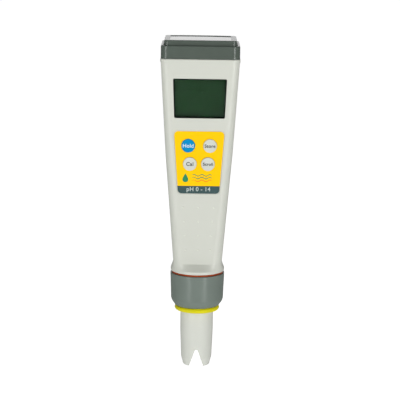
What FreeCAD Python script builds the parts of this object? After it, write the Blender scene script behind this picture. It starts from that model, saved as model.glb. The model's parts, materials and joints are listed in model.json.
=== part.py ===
import FreeCAD, Part
import math
import os
import re
import Sketcher

# Handheld digital pH meter, in millimetres.
# Z runs up the long axis and passes through the centre of the electrode.  Z = 0 is the upper end of
# the cylinder that a protective cap slides over, just under the yellow ring.  The display faces -Y,
# and X is to the right.

V = FreeCAD.Vector

SIZES = {
    # electrode housing, below and above the yellow ring
    "guardReach": 28.6,        # from there down to the tips of the two prongs
    "guardRadius": 8.3,        # the cylinder that a protective cap slides over
    "seatLength": 10.0,        # length of that cylinder
    "waistTaper": 0.55,        # how far the guard draws in to where the prongs round off
    "waistRise": 4.2,          # height of that place above the tips
    "tipTaper": 1.6,           # how far it draws in at the tips
    "tipRound": 3.0,
    "tipEdge": 0.6,
    "guardWall": 1.8,
    "cutOver": 1.0,            # how far a cut starts outside what it cuts
    "notchReach": 9.1,         # apex of the V notch above the tips
    "notchRound": 0.9,
    "notchHalfGap": 3.65,      # half the gap between the prongs at the tips
    "bulkheadLow": 6.0,        # bulkhead's underside, below the ring
    "bulkheadWall": 3.0,
    "neckInset": 0.15,         # neck, inside the plug's radius
    "neckFlangeOut": 1.35,     # neck flange, outside the plug's radius
    "neckFlangeHeight": 2.8,
    "plugRadius": 9.15,        # the plug that slides in the body's spigot
    "plugHeight": 11.1,
    "plugWall": 1.95,
    "chamberWall": 1.1,        # wall of the chamber inside the guard's radius
    "bungHeight": 3.5,
    "sealGrooveDepth": 1.1,
    "sealGrooveHeight": 1.6,
    "sealGrooveRise": 4.4,
    # what the electrode holds
    "stemGap": 0.9,            # between the glass stem and what stands beside it
    "glassWall": 0.6,
    "bulbOut": 0.4,            # bulb, outside the stem's radius
    "bulbDrop": 14.3,          # centre of the glass bulb, below the ring
    "stemTopGap": 1.4,
    "probeRadius": 1.1,
    "probeDrop": 15.0,
    "junctionRadius": 1.1,
    "junctionProud": 0.6,
    "probeGap": 0.4,           # between the guard's wall and the probe
    "wireRadius": 0.3,
    "wireLift": 2.0,
    "leadGap": 0.6,
    "contactBoardInset": 1.0,
    "contactBoardHeight": 1.0,
    "padRadius": 0.8,
    "padHeight": 0.15,
    # yellow ring
    "ringThick": 3.0,          # ring, outside the guard's radius
    "ringSeat": 0.4,           # depth of the groove that holds the ring
    "ringGap": 0.1,            # between the cap's cylinder and the ring
    "ringHeight": 2.6,         # ring's upper side
    # collar nut
    "runGap": 0.1,             # running clearance between parts that turn or slide together
    "collarLip": 2.3,
    "collarHeight": 16.8,
    "collarFootOut": 0.1,      # collar's foot, shoulder and top, outside the spigot's radius
    "collarShoulderOut": 2.15,
    "collarShoulderRise": 2.9,
    "collarTopOut": 2.65,
    "collarShoulderRound": 4.5,
    "collarFootRound": 0.8,
    "threadPitch": 2.0,
    "threadDepth": 0.45,
    "threadMouthHalf": 0.64,   # half the groove's width at its mouth and at its root
    "threadRootHalf": 0.2,
    "threadClear": 0.15,
    "threadRunOut": 1.2,
    "gripCount": 4.0,
    "gripTurn": 6.0,           # first grip mark, in degrees to the left of the front
    "gripFootRadius": 1.1,
    "gripTipRadius": 0.05,
    "gripRise": 9.6,
    "gripDepth": 0.45,
    # gap and seal between collar and body
    "sealGap": 1.0,
    "collarSealOut": 1.95,
    "collarSealHeight": 0.9,
    "collarSealRound": 0.3,
    # body shell
    "spigotWall": 1.75,
    "flangeOut": 2.55,         # flange, outside the spigot's radius
    "flangeHeight": 1.5,
    "flangeRound": 0.5,
    "shoulderRise": 3.4,
    "floorHoleRadius": 7.0,
    "floorLedge": 1.0,
    "shellWall": 2.0,
    "bodyRise": 101.1,         # shoulder up to the lip
    "midRise": 54.6,           # middle section, above the shoulder
    "frontFace": 10.0,         # flat front, ahead of the axis
    "lowHalf": 12.2,
    "topHalf": 19.5,
    "sideBow": 0.5,
    "lowBack": 10.0,
    "topBack": 23.0,
    "backBow": 0.2,
    "lowCorner": 5.0,
    "midCorner": 4.3,
    "topCorner": 3.6,
    "lowCrown": 0.3,
    "topCrown": 1.2,
    "leastCorner": 0.8,
    "lipHeight": 1.7,
    "lipOut": 0.25,
    "lipRound": 0.5,
    # display opening and its parts
    "windowDrop": 7.9,         # top of the display opening, below the lip
    "windowHeight": 19.5,
    "windowTopHalf": 13.3,
    "windowLowHalf": 12.5,
    "windowRound": 0.7,
    "leastRound": 0.2,
    "windowRecess": 0.25,
    "windowThick": 1.0,
    "fitGap": 0.1,             # clearance all round a piece that drops into a recess
    "lcdFrameWall": 0.55,
    "lcdFrameRim": 1.5,
    "lcdOverlap": 0.4,
    "lcdLap": 0.05,
    "lcdThick": 1.6,
    "zebraHeight": 1.8,
    "zebraInset": 2.2,
    # keypad
    "labelDrop": 33.9,         # top of the label, below the lip
    "labelHeight": 31.1,
    "labelTopHalf": 12.5,
    "labelLowHalf": 10.2,
    "labelRound": 2.0,
    "labelThick": 0.25,
    "labelRecess": 0.3,
    "labelMargin": 0.35,
    "keyRadius": 3.35,
    "keyFlangeRadius": 4.1,
    "keyFlangeThick": 0.8,
    "keyStemRadius": 1.4,
    "keyProud": 0.45,
    "keyDish": 0.22,
    "keyRim": 0.5,
    "keyRound": 0.2,
    "keyTravel": 0.4,
    "keyBayClear": 1.0,
    "upperKeyDrop": 7.15,      # key rows, below the top of the label
    "lowerKeyDrop": 16.25,
    "upperKeySide": 5.4,
    "lowerKeySide": 4.5,
    "matThick": 0.6,
    "matRise": 1.3,            # mat's front face, ahead of the board
    "matHoleClear": 0.4,
    "domeRadius": 2.2,
    "domeHeight": 0.6,
    # chassis, board and what is on it
    "boardFront": 4.3,         # front face of the main board, ahead of the axis
    "boardThick": 1.2,
    "boardMargin": 1.8,
    "boardAboveFloor": 7.6,
    "chassisFront": 7.2,
    "chassisMargin": 1.2,
    "chassisBorder": 1.3,
    "chassisBar": 4.1,
    "chassisFoot": 5.5,
    "chassisAboveFloor": 13.1,
    "screwShankRadius": 0.95,
    "screwHeadRadius": 1.9,
    "screwHeadHeight": 1.2,
    "screwReach": 3.6,
    "screwUpperSide": 9.5,
    "screwLowerSide": 6.8,
    "controllerWidth": 10.0,
    "controllerRise": 6.0,
    "amplifierWidth": 5.0,
    "amplifierHeight": 6.2,
    "amplifierRise": 14.0,
    "chipThick": 1.5,
    "crystalRadius": 1.1,
    "crystalLength": 6.5,
    "crystalGap": 3.0,
    "chipPartWidth": 1.6,
    "chipPartHeight": 0.9,
    "chipPartThick": 0.7,
    "chipPartSpacing": 3.5,
    "chipRowLow": 8.0,
    "chipRowMiddle": 20.0,
    "chipRowHigh": 24.0,
    "pinRadius": 0.35,
    "pinSpacing": 3.0,
    "pinOverlap": 4.0,
    "pinGap": 0.2,
    "socketRecess": 0.3,
    "socketFlangeOut": 0.7,
    "socketFlangeHeight": 1.6,
    # top bezel
    "bezelGap": 0.1,
    "bezelHeight": 6.4,
    "bezelRim": 1.3,
    "bezelLedge": 1.7,
    "bezelRound": 0.5,
    "bezelInnerRound": 0.25,
    "skirtDepth": 3.7,
    "skirtClear": 0.33,       # beyond what the shell's taper takes
    "skirtWall": 1.2,
    # battery cover
    "coverGap": 0.3,
    "coverRise": 2.6,
    "coverRim": 2.7,
    "coverRecess": 0.25,
    "coverRound": 0.45,
    "bossGap": 0.15,
    "coverSealDepth": 0.9,
    "coverSealHeight": 1.4,
    "coverSealRise": 3.0,
    "coverSealGap": 0.05,
    # battery carrier, sleeve and cells
    "cellRadius": 5.8,
    "cellThick": 5.4,
    "cellCount": 4.0,
    "cellGap": 0.1,
    "cellBack": 8.6,           # centre of the cells, behind the axis
    "springRoom": 1.4,
    "springFootRadius": 4.0,
    "springTipRadius": 2.3,
    "plateThick": 0.3,
    "plateHalf": 2.9,
    "carrierWall": 1.2,
    "sleeveWall": 1.0,
    "sleeveGap": 0.15,
    "sleeveFootGap": 0.3,
    "contactHalf": 1.5,
    "contactSide": 8.0,
    "contactGap": 0.2,
}

doc = FreeCAD.newDocument("digital_ph_meter")
sheet = doc.addObject("Spreadsheet::Sheet", "Dim")
ALIAS = re.compile(r"\b(" + "|".join(SIZES) + r")\b")
PIECES = []


def fill_sheet():
    for row, (alias, size) in enumerate(SIZES.items(), start=1):
        sheet.set(f"A{row}", str(size))
        sheet.setAlias(f"A{row}", alias)
    doc.recompute()


def bind(formula):
    """Turn a formula of size names into an expression on the sheet."""
    return ALIAS.sub(r"Dim.\1", str(formula))


def value(formula):
    return float(sheet.evalExpression(bind(formula)))


# ---------------------------------------------------------------- heights and shared formulas

collar_low = "(ringHeight + runGap)"
lip_top = f"({collar_low} + collarLip)"
neck_flange_low = f"({lip_top} + runGap)"
neck_flange_top = f"({neck_flange_low} + neckFlangeHeight)"
spigot_low = f"({neck_flange_top} + runGap)"
plug_top = f"({neck_flange_top} + plugHeight)"
collar_top = f"({collar_low} + collarHeight)"
flange_low = f"({collar_top} + sealGap)"
flange_top = f"({flange_low} + flangeHeight)"
shoulder_top = f"({flange_top} + shoulderRise)"
mid_level = f"({shoulder_top} + midRise)"
lip_low = f"({shoulder_top} + bodyRise)"
body_top = f"({lip_low} + lipHeight)"
guard_low = "(-guardReach)"
waist_radius = "(guardRadius - waistTaper)"
tip_radius = "(guardRadius - tipTaper)"
cup_radius = "(guardRadius - guardWall)"
ring_radius = "(guardRadius + ringThick)"
ring_seat_radius = "(guardRadius - ringSeat)"
side_offset = f"({cup_radius} - probeGap - probeRadius)"
stem_radius = f"({side_offset} - probeRadius - stemGap)"
bulb_radius = f"({stem_radius} + bulbOut)"
neck_radius = "(plugRadius - neckInset)"
neck_flange_radius = "(plugRadius + neckFlangeOut)"
groove_radius = "(plugRadius - sealGrooveDepth)"
low_chamber_radius = "(guardRadius - chamberWall)"
chamber_radius = "(plugRadius - plugWall)"
bore_radius = "(plugRadius + runGap)"
spigot_radius = f"({bore_radius} + spigotWall)"
collar_bore = f"({spigot_radius} + runGap)"
collar_foot_radius = f"({spigot_radius} + collarFootOut)"
collar_shoulder_radius = f"({spigot_radius} + collarShoulderOut)"
collar_top_radius = f"({spigot_radius} + collarTopOut)"
collar_seal_radius = f"({spigot_radius} + collarSealOut)"
flange_radius = f"({spigot_radius} + flangeOut)"
socket_flange_radius = "(floorHoleRadius + socketFlangeOut)"
bore_top = f"({flange_low} + floorLedge)"
bulkhead_top = "(-bulkheadLow + bulkheadWall)"
bung_low = f"({plug_top} - bungHeight)"
board_top_of_electrode = f"({plug_top} + contactBoardHeight)"

window_top = f"({lip_low} - windowDrop)"
window_low = f"({window_top} - windowHeight)"
label_top = f"({lip_low} - labelDrop)"
label_low = f"({label_top} - labelHeight)"

wall_inside = "(-frontFace + shellWall)"
board_front = "(-boardFront)"
board_back = "(-boardFront + boardThick)"
board_low = f"({shoulder_top} + boardAboveFloor)"
chassis_low = f"({shoulder_top} + chassisAboveFloor)"
lcd_front = f"({wall_inside} + fitGap)"
lcd_back = f"({lcd_front} + lcdThick)"
frame_low = f"({window_low} - lcdFrameRim)"
frame_top = f"({window_top} + lcdFrameRim)"
chassis_top = f"({frame_top} + fitGap + chassisBorder)"
upper_bar_top = f"({frame_low} - fitGap)"
upper_bar_low = f"({upper_bar_top} - chassisBar)"
key_bay_low = f"({label_top} - lowerKeyDrop - keyFlangeRadius - keyBayClear)"
pin_row = f"({board_back} + pinRadius)"

bezel_low = f"({body_top} + bezelGap)"
bezel_top = f"({bezel_low} + bezelHeight)"
ledge_level = f"({bezel_low} + bezelLedge)"
skirt_low = f"({bezel_low} - bezelGap - lipHeight - skirtDepth)"
skirt_out = "(shellWall + skirtClear + (topHalf - lowHalf) * skirtDepth / bodyRise)"
skirt_in = f"({skirt_out} + skirtWall)"
cover_in = "(bezelRim + coverGap)"
boss_in = f"({skirt_in} + bossGap)"
cover_low = f"({ledge_level} + runGap)"
cover_top = f"({bezel_top} + coverRise)"

stack_half = "((cellCount * cellThick + springRoom + plateThick) / 2)"
carrier_half = f"({stack_half} + carrierWall)"
carrier_low = f"({skirt_low} - 2 * (cellRadius + cellGap) - 2 * carrierWall)"
cell_level = f"({carrier_low} + carrierWall + cellRadius + cellGap)"
carrier_front = "(cellBack - cellRadius - cellGap - carrierWall)"
carrier_back = "(cellBack + cellRadius + cellGap + carrierWall)"


def half_at(level):
    """Half the body's width at a height, on the straight line between its two ends."""
    return f"(lowHalf + (topHalf - lowHalf) * ({level} - {shoulder_top}) / bodyRise)"


def between(low, high, level_rise):
    return f"({low} + ({high} - {low}) * {level_rise} / bodyRise)"


# each section: height, half width, back, corner radius, crown of the back
LOW = (shoulder_top, "lowHalf", "lowBack", "lowCorner", "lowCrown")
MID = (mid_level, f"({between('lowHalf', 'topHalf', 'midRise')} + sideBow)",
       f"({between('lowBack', 'topBack', 'midRise')} + backBow)", "midCorner",
       between("lowCrown", "topCrown", "midRise"))
TOP = (lip_low, "topHalf", "topBack", "topCorner", "topCrown")


# ---------------------------------------------------------------- sketches

def origin_item(body, role):
    return [item for item in body.Origin.OriginFeatures if item.Role == role][0]


def attach(body, item, plane):
    item.AttachmentSupport = [(origin_item(body, plane), "")]
    item.MapMode = "FlatFace"


def new_sketch(body, plane, offset):
    sketch = body.newObject("Sketcher::SketchObject", f"{body.Name}_sketch")
    attach(body, sketch, plane)
    sketch.AttachmentOffset = FreeCAD.Placement(V(0, 0, value(offset)), FreeCAD.Rotation())
    sketch.setExpression("AttachmentOffset.Base.z", bind(offset))
    return sketch


def bind_constraint(sketch, constraint, formula):
    index = sketch.addConstraint(constraint)
    sketch.renameConstraint(index, f"size{index}")
    sketch.setExpression(f"Constraints.size{index}", bind(formula))


def pin_point(sketch, geometry, point, x, y):
    for kind, formula in (("DistanceX", x), ("DistanceY", y)):
        constraint = Sketcher.Constraint(kind, -1, 1, geometry, point, value(formula))
        bind_constraint(sketch, constraint, formula)


def arc_between(centre, radius, start, end):
    first = math.atan2(start.y - centre.y, start.x - centre.x)
    last = math.atan2(end.y - centre.y, end.x - centre.x)
    if last < first:
        last += 2 * math.pi
    return Part.ArcOfCircle(Part.Circle(centre, V(0, 0, 1), radius), first, last)


def outline(points, arcs=None):
    """A closed outline, counterclockwise.  arcs: edge number -> (centre x, centre y, radius)."""
    arcs = arcs or {}

    def draw(sketch):
        corners = [V(value(x), value(y), 0) for x, y in points]
        count = len(corners)
        first = sketch.GeometryCount
        for number, start in enumerate(corners):
            end = corners[(number + 1) % count]
            if number in arcs:
                x, y, radius = arcs[number]
                centre = V(value(x), value(y), 0)
                sketch.addGeometry(arc_between(centre, value(radius), start, end))
            else:
                sketch.addGeometry(Part.LineSegment(start, end))
        for number in range(count):
            follower = first + (number + 1) % count
            sketch.addConstraint(Sketcher.Constraint("Coincident", first + number, 2, follower, 1))
        for number, (x, y) in enumerate(points):
            pin_point(sketch, first + number, 1, x, y)
        for number, (_, _, radius) in arcs.items():
            constraint = Sketcher.Constraint("Radius", first + number, value(radius))
            bind_constraint(sketch, constraint, radius)

    return draw


def circle(x, y, radius):
    def draw(sketch):
        centre = V(value(x), value(y), 0)
        index = sketch.addGeometry(Part.Circle(centre, V(0, 0, 1), value(radius)))
        pin_point(sketch, index, 3, x, y)
        bind_constraint(sketch, Sketcher.Constraint("Radius", index, value(radius)), radius)

    return draw


def rectangle(left, right, low, high):
    return outline([(left, low), (right, low), (right, high), (left, high)])


def trapezoid(low, high, low_half, high_half):
    """Upright trapezoid, symmetric about the axis, with sharp corners."""
    return outline([(f"-({low_half})", low), (low_half, low),
                    (high_half, high), (f"-({high_half})", high)])


def round_trapezoid(low, high, low_half, high_half, radius):
    """Upright trapezoid whose four corners are arcs that touch both sides."""
    lean = f"(({high_half}) - ({low_half}))"
    rise = f"(({high}) - ({low}))"
    slant = f"sqrt({lean} * {lean} + {rise} * {rise})"
    low_cut = f"(({radius}) * ({slant} - {lean}) / {rise})"
    high_cut = f"(({radius}) * ({slant} + {lean}) / {rise})"
    low_x = f"(({low_half}) - {low_cut})"
    high_x = f"(({high_half}) - {high_cut})"
    low_side = (f"(({low_half}) + {low_cut} * {lean} / {slant})", f"({low}) + {low_cut} * {rise} / {slant}")
    high_side = (f"(({high_half}) - {high_cut} * {lean} / {slant})",
                 f"({high}) - {high_cut} * {rise} / {slant}")
    points = [(f"-{low_x}", low), (low_x, low), low_side, high_side, (high_x, high), (f"-{high_x}", high),
              (f"-{high_side[0]}", high_side[1]), (f"-{low_side[0]}", low_side[1])]
    low_centre = f"({low}) + ({radius})"
    high_centre = f"({high}) - ({radius})"
    arcs = {1: (low_x, low_centre, radius), 3: (high_x, high_centre, radius),
            5: (f"-{high_x}", high_centre, radius), 7: (f"-{low_x}", low_centre, radius)}
    return outline(points, arcs)


def section_points(section, inset):
    """The eight points of a body section drawn in by inset, and its arcs, tangent to what they join."""
    _, half, back, corner, crown = section
    half = f"({half} - ({inset}))"
    front = f"(-frontFace + ({inset}))"
    back = f"({back} - ({inset}))"
    round_off = f"max({corner} - ({inset}); leastCorner)"
    flat = f"({half} - {round_off})"
    front_side = f"({front} + {round_off})"
    back_side = f"({back} - {round_off})"
    reach = f"(({flat} * {flat} + {crown} * {crown}) / (2 * {crown}))"
    crown_radius = f"({reach} + {round_off})"
    meet_x = f"({flat} + {round_off} * {flat} / {reach})"
    meet_y = f"({back_side} + {round_off} * ({reach} - {crown}) / {reach})"
    points = [(f"-{flat}", front), (flat, front), (half, front_side), (half, back_side),
              (meet_x, meet_y), (f"-{meet_x}", meet_y), (f"-{half}", back_side), (f"-{half}", front_side)]
    arcs = {1: (flat, front_side, round_off), 3: (flat, back_side, round_off),
            4: ("0", f"({back} + {crown} - {crown_radius})", crown_radius),
            5: (f"-{flat}", back_side, round_off), 7: (f"-{flat}", front_side, round_off)}
    return points, arcs


def section_outline(section, inset="0"):
    return outline(*section_points(section, inset))


def flange_outline():
    """The round flange, cut into eight arcs that face the corners of the section above it."""
    points, _ = section_points(LOW, "0")
    spread = [(f"({flange_radius} * {x} / sqrt({x} * {x} + {y} * {y}))",
               f"({flange_radius} * {y} / sqrt({x} * {x} + {y} * {y}))") for x, y in points]
    return outline(spread, {number: ("0", "0", flange_radius) for number in range(len(spread))})


# ---------------------------------------------------------------- features

def new_body(name):
    body = doc.addObject("PartDesign::Body", name)
    body.AllowCompound = True
    PIECES.append(body)
    return body


def sketch_of(body, plane, offset, drawings):
    sketch = new_sketch(body, plane, offset)
    for draw in drawings:
        draw(sketch)
    return sketch


def extrude(body, kind, plane, offset, low, high, drawings):
    sketch = sketch_of(body, plane, offset, drawings)
    feature = body.newObject(f"PartDesign::{kind}", f"{body.Name}_{kind.lower()}")
    feature.Profile = sketch
    feature.Length = value(f"{high} - ({low})")
    feature.setExpression("Length", bind(f"{high} - ({low})"))
    return feature


def pad_up(body, low, high, *drawings):
    """Solid from one height to another."""
    return extrude(body, "Pad", "XY_Plane", low, low, high, drawings)


def pad_back(body, front, back, *drawings):
    """Solid from one depth to another; drawings are in X and Z."""
    return extrude(body, "Pad", "XZ_Plane", f"-({back})", front, back, drawings)


def cut_down(body, low, high, *drawings):
    return extrude(body, "Pocket", "XY_Plane", high, low, high, drawings)


def cut_back(body, front, back, *drawings):
    return extrude(body, "Pocket", "XZ_Plane", f"-({front})", front, back, drawings)


def turn(body, points, kind="Revolution", arcs=None):
    """Solid, or groove, turned about the body's own Z axis from an outline of (radius, height)."""
    sketch = sketch_of(body, "XZ_Plane", "0", [outline(points, arcs)])
    feature = body.newObject(f"PartDesign::{kind}", f"{body.Name}_{kind.lower()}")
    feature.Profile = sketch
    feature.ReferenceAxis = (sketch, ["V_Axis"])
    feature.Angle = 360
    return feature


def tube_points(inner, outer, low, high):
    return [(inner, low), (outer, low), (outer, high), (inner, high)]


def loft(body, kind, drawings_by_level):
    """Straight-sided loft from each outline to the next, each given as (height, drawing)."""
    sketches = [sketch_of(body, "XY_Plane", level, [draw]) for level, draw in drawings_by_level]
    feature = body.newObject(f"PartDesign::{kind}", f"{body.Name}_{kind.lower()}")
    feature.Profile = sketches[0]
    feature.Sections = sketches[1:]
    feature.Ruled = True
    return feature


def round_edges(body, radius, pick):
    doc.recompute()
    base = body.Tip
    names = [f"Edge{number}" for number, edge in enumerate(base.Shape.Edges, start=1) if pick(edge)]
    feature = body.newObject("PartDesign::Fillet", f"{body.Name}_fillet")
    feature.Base = (base, names)
    feature.Radius = value(radius)
    feature.setExpression("Radius", bind(radius))
    return feature


CLOSE = 1e-4
PICK_MARGIN = 0.01


def near(first, second):
    return abs(first - second) < CLOSE


def edge_ring(level, radius):
    """Picks the full circle of a radius at a height."""
    height = value(level)
    reach = value(radius)
    return lambda edge: (near(edge.BoundBox.ZMin, height) and near(edge.BoundBox.ZMax, height)
                         and near(edge.BoundBox.XMax, reach))


def edges_at(level):
    """Picks every edge that lies at a height."""
    height = value(level)
    return lambda edge: near(edge.BoundBox.ZMin, height) and near(edge.BoundBox.ZMax, height)


def edges_of_top_section(level, inset):
    """Picks the edges at a height that belong to the top section drawn in by inset."""
    at_level = edges_at(level)
    half = value(f"topHalf - ({inset})") + PICK_MARGIN
    front = value(f"-frontFace + ({inset})") - PICK_MARGIN
    back = value(f"topBack + topCrown - ({inset})") + PICK_MARGIN

    def pick(edge):
        box = edge.BoundBox
        within = max(box.XMax, -box.XMin) < half and box.YMin > front and box.YMax < back
        return at_level(edge) and within

    return pick


def thread_groove(body, radius, low, high, outward):
    """Helical groove of a thread's section, cut into a bore (outward) or a shaft."""
    side = 1 if outward else -1
    mouth = f"({radius} - {side} * threadClear)"
    root = f"({radius} + {side} * threadDepth)"
    points = [(mouth, f"{low} - threadMouthHalf"), (root, f"{low} - threadRootHalf"),
              (root, f"{low} + threadRootHalf"), (mouth, f"{low} + threadMouthHalf")]
    sketch = sketch_of(body, "XZ_Plane", "0", [outline(points)])
    doc.recompute()
    groove = body.newObject("PartDesign::SubtractiveHelix", f"{body.Name}_thread")
    groove.Profile = sketch
    groove.ReferenceAxis = (sketch, ["V_Axis"])
    groove.Mode = 0
    for name, formula in (("Pitch", "threadPitch"), ("Height", f"{high} - ({low})")):
        setattr(groove, name, value(formula))
        groove.setExpression(name, bind(formula))
    doc.recompute()


def place(item, x="0", y="0", z="0"):
    for axis, formula in (("x", x), ("y", y), ("z", z)):
        item.setExpression(f"Placement.Base.{axis}", bind(formula))


def size(item, **formulas):
    for name, formula in formulas.items():
        item.setExpression(name, bind(formula))


def rod(name, x, y, low, high, radius):
    item = doc.addObject("Part::Cylinder", name)
    size(item, Radius=radius, Height=f"{high} - ({low})")
    place(item, x, y, low)
    return item


def block(name, left, right, front, back, low, high):
    item = doc.addObject("Part::Box", name)
    size(item, Length=f"{right} - ({left})", Width=f"{back} - ({front})", Height=f"{high} - ({low})")
    place(item, left, front, low)
    return item


def group(name, items):
    """Several solids of one kind that share a node."""
    item = doc.addObject("Part::Compound", name)
    item.Links = items
    PIECES.append(item)
    return item


def single(item):
    PIECES.append(item)
    return item


# ---------------------------------------------------------------- the outside

def make_body_shell():
    body = new_body("body_shell")
    turn(body, [(bore_radius, spigot_low), (spigot_radius, spigot_low), (spigot_radius, flange_low),
                (flange_radius, flange_low), (flange_radius, flange_top), ("floorHoleRadius", flange_top),
                ("floorHoleRadius", bore_top), (bore_radius, bore_top)])
    round_edges(body, "flangeRound", edge_ring(flange_low, flange_radius))
    loft(body, "AdditiveLoft", [(flange_top, flange_outline()), (shoulder_top, section_outline(LOW))])
    loft(body, "AdditiveLoft", [(section[0], section_outline(section)) for section in (LOW, MID, TOP)])
    pad_up(body, lip_low, body_top, section_outline(TOP, "-lipOut"))
    round_edges(body, "lipRound", edges_at(body_top))
    loft(body, "SubtractiveLoft",
         [(section[0], section_outline(section, "shellWall")) for section in (LOW, MID, TOP)])
    cut_down(body, lip_low, body_top, section_outline(TOP, "shellWall"))
    cut_down(body, bore_top, shoulder_top, circle("0", "0", "floorHoleRadius"))
    cut_back(body, "-frontFace", wall_inside, display_outline("0"))
    cut_back(body, "-frontFace", "-frontFace + labelRecess", label_outline("labelMargin"))
    cut_back(body, "-frontFace", wall_inside, *key_circles("keyRadius + runGap"))
    thread_groove(body, spigot_radius, f"({spigot_low} + threadRunOut)", f"({flange_low} - threadRunOut)",
                  False)


def display_outline(inset):
    return round_trapezoid(f"{window_low} + ({inset})", f"{window_top} - ({inset})",
                           f"windowLowHalf - ({inset})", f"windowTopHalf - ({inset})",
                           f"max(windowRound - ({inset}); leastRound)")


def label_outline(outset):
    return round_trapezoid(f"{label_low} - ({outset})", f"{label_top} + ({outset})",
                           f"labelLowHalf + ({outset})", f"labelTopHalf + ({outset})",
                           f"labelRound + ({outset})")


KEYS = {
    "key_hold": ("-upperKeySide", "upperKeyDrop"),
    "key_store": ("upperKeySide", "upperKeyDrop"),
    "key_cal": ("-lowerKeySide", "lowerKeyDrop"),
    "key_scroll": ("lowerKeySide", "lowerKeyDrop"),
}


def key_circles(radius):
    return [circle(x, f"{label_top} - {drop}", radius) for x, drop in KEYS.values()]


def make_top_bezel():
    body = new_body("top_bezel")
    pad_up(body, bezel_low, bezel_top, section_outline(TOP))
    round_edges(body, "bezelRound", edges_at(bezel_top))
    pad_up(body, skirt_low, bezel_low, section_outline(TOP, skirt_out))
    cut_down(body, ledge_level, bezel_top, section_outline(TOP, "bezelRim"))
    cut_down(body, skirt_low, ledge_level, section_outline(TOP, skirt_in))
    round_edges(body, "bezelInnerRound", edges_of_top_section(bezel_top, "bezelRim"))


def make_battery_cover():
    body = new_body("battery_cover")
    pad_up(body, cover_low, cover_top, section_outline(TOP, cover_in))
    round_edges(body, "coverRound", edges_at(cover_top))
    pad_up(body, skirt_low, cover_low, section_outline(TOP, boss_in))
    cut_down(body, f"{cover_top} - coverRecess", cover_top, section_outline(TOP, f"{cover_in} + coverRim"))
    groove_low = f"({skirt_low} + coverSealRise)"
    cut_down(body, groove_low, f"{groove_low} + coverSealHeight",
             section_outline(TOP, f"{boss_in} - cutOver"),
             section_outline(TOP, f"{boss_in} + coverSealDepth"))
    seal = new_body("cover_seal")
    pad_up(seal, f"{groove_low} + coverSealGap", f"{groove_low} + coverSealHeight - coverSealGap",
           section_outline(TOP, f"{skirt_in} + coverSealGap"),
           section_outline(TOP, f"{boss_in} + coverSealDepth"))


def make_display_window():
    body = new_body("display_window")
    front = "(-frontFace + windowRecess)"
    pad_back(body, front, f"{front} + windowThick", display_outline("fitGap"))


def make_keypad_label():
    body = new_body("keypad_label")
    back = "(-frontFace + labelRecess)"
    pad_back(body, f"{back} - labelThick", back, label_outline("0"), *key_circles("keyRadius + runGap"))


def make_key(name, x, drop):
    """A key turned about its own axis, which points out of the front."""
    body = new_body(name)
    cap = "(frontFace + keyProud)"
    flange_front = "(frontFace - shellWall - fitGap)"
    flange_back = f"({flange_front} - keyFlangeThick)"
    stem_end = "(boardFront + domeHeight + keyTravel + runGap)"
    turn(body, [("0", stem_end), ("keyStemRadius", stem_end), ("keyStemRadius", flange_back),
                ("keyFlangeRadius", flange_back), ("keyFlangeRadius", flange_front),
                ("keyRadius", flange_front), ("keyRadius", cap), ("0", cap)])
    round_edges(body, "keyRound", edge_ring(cap, "keyRadius"))
    dish_half = "(keyRadius - keyRim)"
    dish_radius = f"(({dish_half} * {dish_half} + keyDish * keyDish) / (2 * keyDish))"
    dish = body.newObject("PartDesign::SubtractiveSphere", f"{name}_dish")
    attach(body, dish, "XY_Plane")
    dish.Radius = value(dish_radius)
    dish.setExpression("Radius", bind(dish_radius))
    dish.setExpression("AttachmentOffset.Base.z", bind(f"{cap} - keyDish + {dish_radius}"))
    body.Placement = FreeCAD.Placement(V(0, 0, 0), FreeCAD.Rotation(V(1, 0, 0), 90))
    place(body, x, "0", f"{label_top} - {drop}")


def make_collar_nut():
    body = new_body("collar_nut")
    hole = f"({neck_radius} + runGap)"
    shoulder = f"({collar_low} + collarShoulderRise)"
    turn(body, [(hole, collar_low), (collar_foot_radius, collar_low), (collar_shoulder_radius, shoulder),
                (collar_top_radius, collar_top), (collar_bore, collar_top), (collar_bore, lip_top),
                (hole, lip_top)])
    round_edges(body, "collarShoulderRound", edge_ring(shoulder, collar_shoulder_radius))
    round_edges(body, "collarFootRound", edge_ring(collar_low, collar_foot_radius))
    cut_grips(body)
    thread_groove(body, collar_bore, f"({spigot_low} + threadRunOut)", f"({collar_top} - threadRunOut)",
                  True)


def cut_grips(body):
    """Tapered grip marks, wide at the collar's foot, fading out up its side."""
    grip = body.newObject("PartDesign::SubtractiveCone", f"{body.Name}_grip")
    attach(body, grip, "XY_Plane")
    reach = f"({collar_shoulder_radius} + gripFootRadius - gripDepth)"
    sheet_sizes = {"Radius1": "gripFootRadius", "Radius2": "gripTipRadius", "Height": "gripRise"}
    for name, formula in sheet_sizes.items():
        setattr(grip, name, value(formula))
        grip.setExpression(name, bind(formula))
    turn_left = value("gripTurn")
    lean = math.degrees(math.atan2(value("collarTopOut - collarShoulderOut"), value("collarHeight")))
    spot = FreeCAD.Rotation(V(0, 0, 1), -90 - turn_left)
    grip.AttachmentOffset = FreeCAD.Placement(
        spot.multVec(V(value(reach), 0, value(collar_low))), spot * FreeCAD.Rotation(V(0, 1, 0), lean))
    doc.recompute()
    pattern = body.newObject("PartDesign::PolarPattern", f"{body.Name}_grips")
    pattern.Originals = [grip]
    pattern.Axis = (origin_item(body, "Z_Axis"), [""])
    pattern.Angle = 360
    pattern.Occurrences = int(value("gripCount"))
    pattern.setExpression("Occurrences", bind("gripCount"))
    body.Tip = pattern


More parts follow.
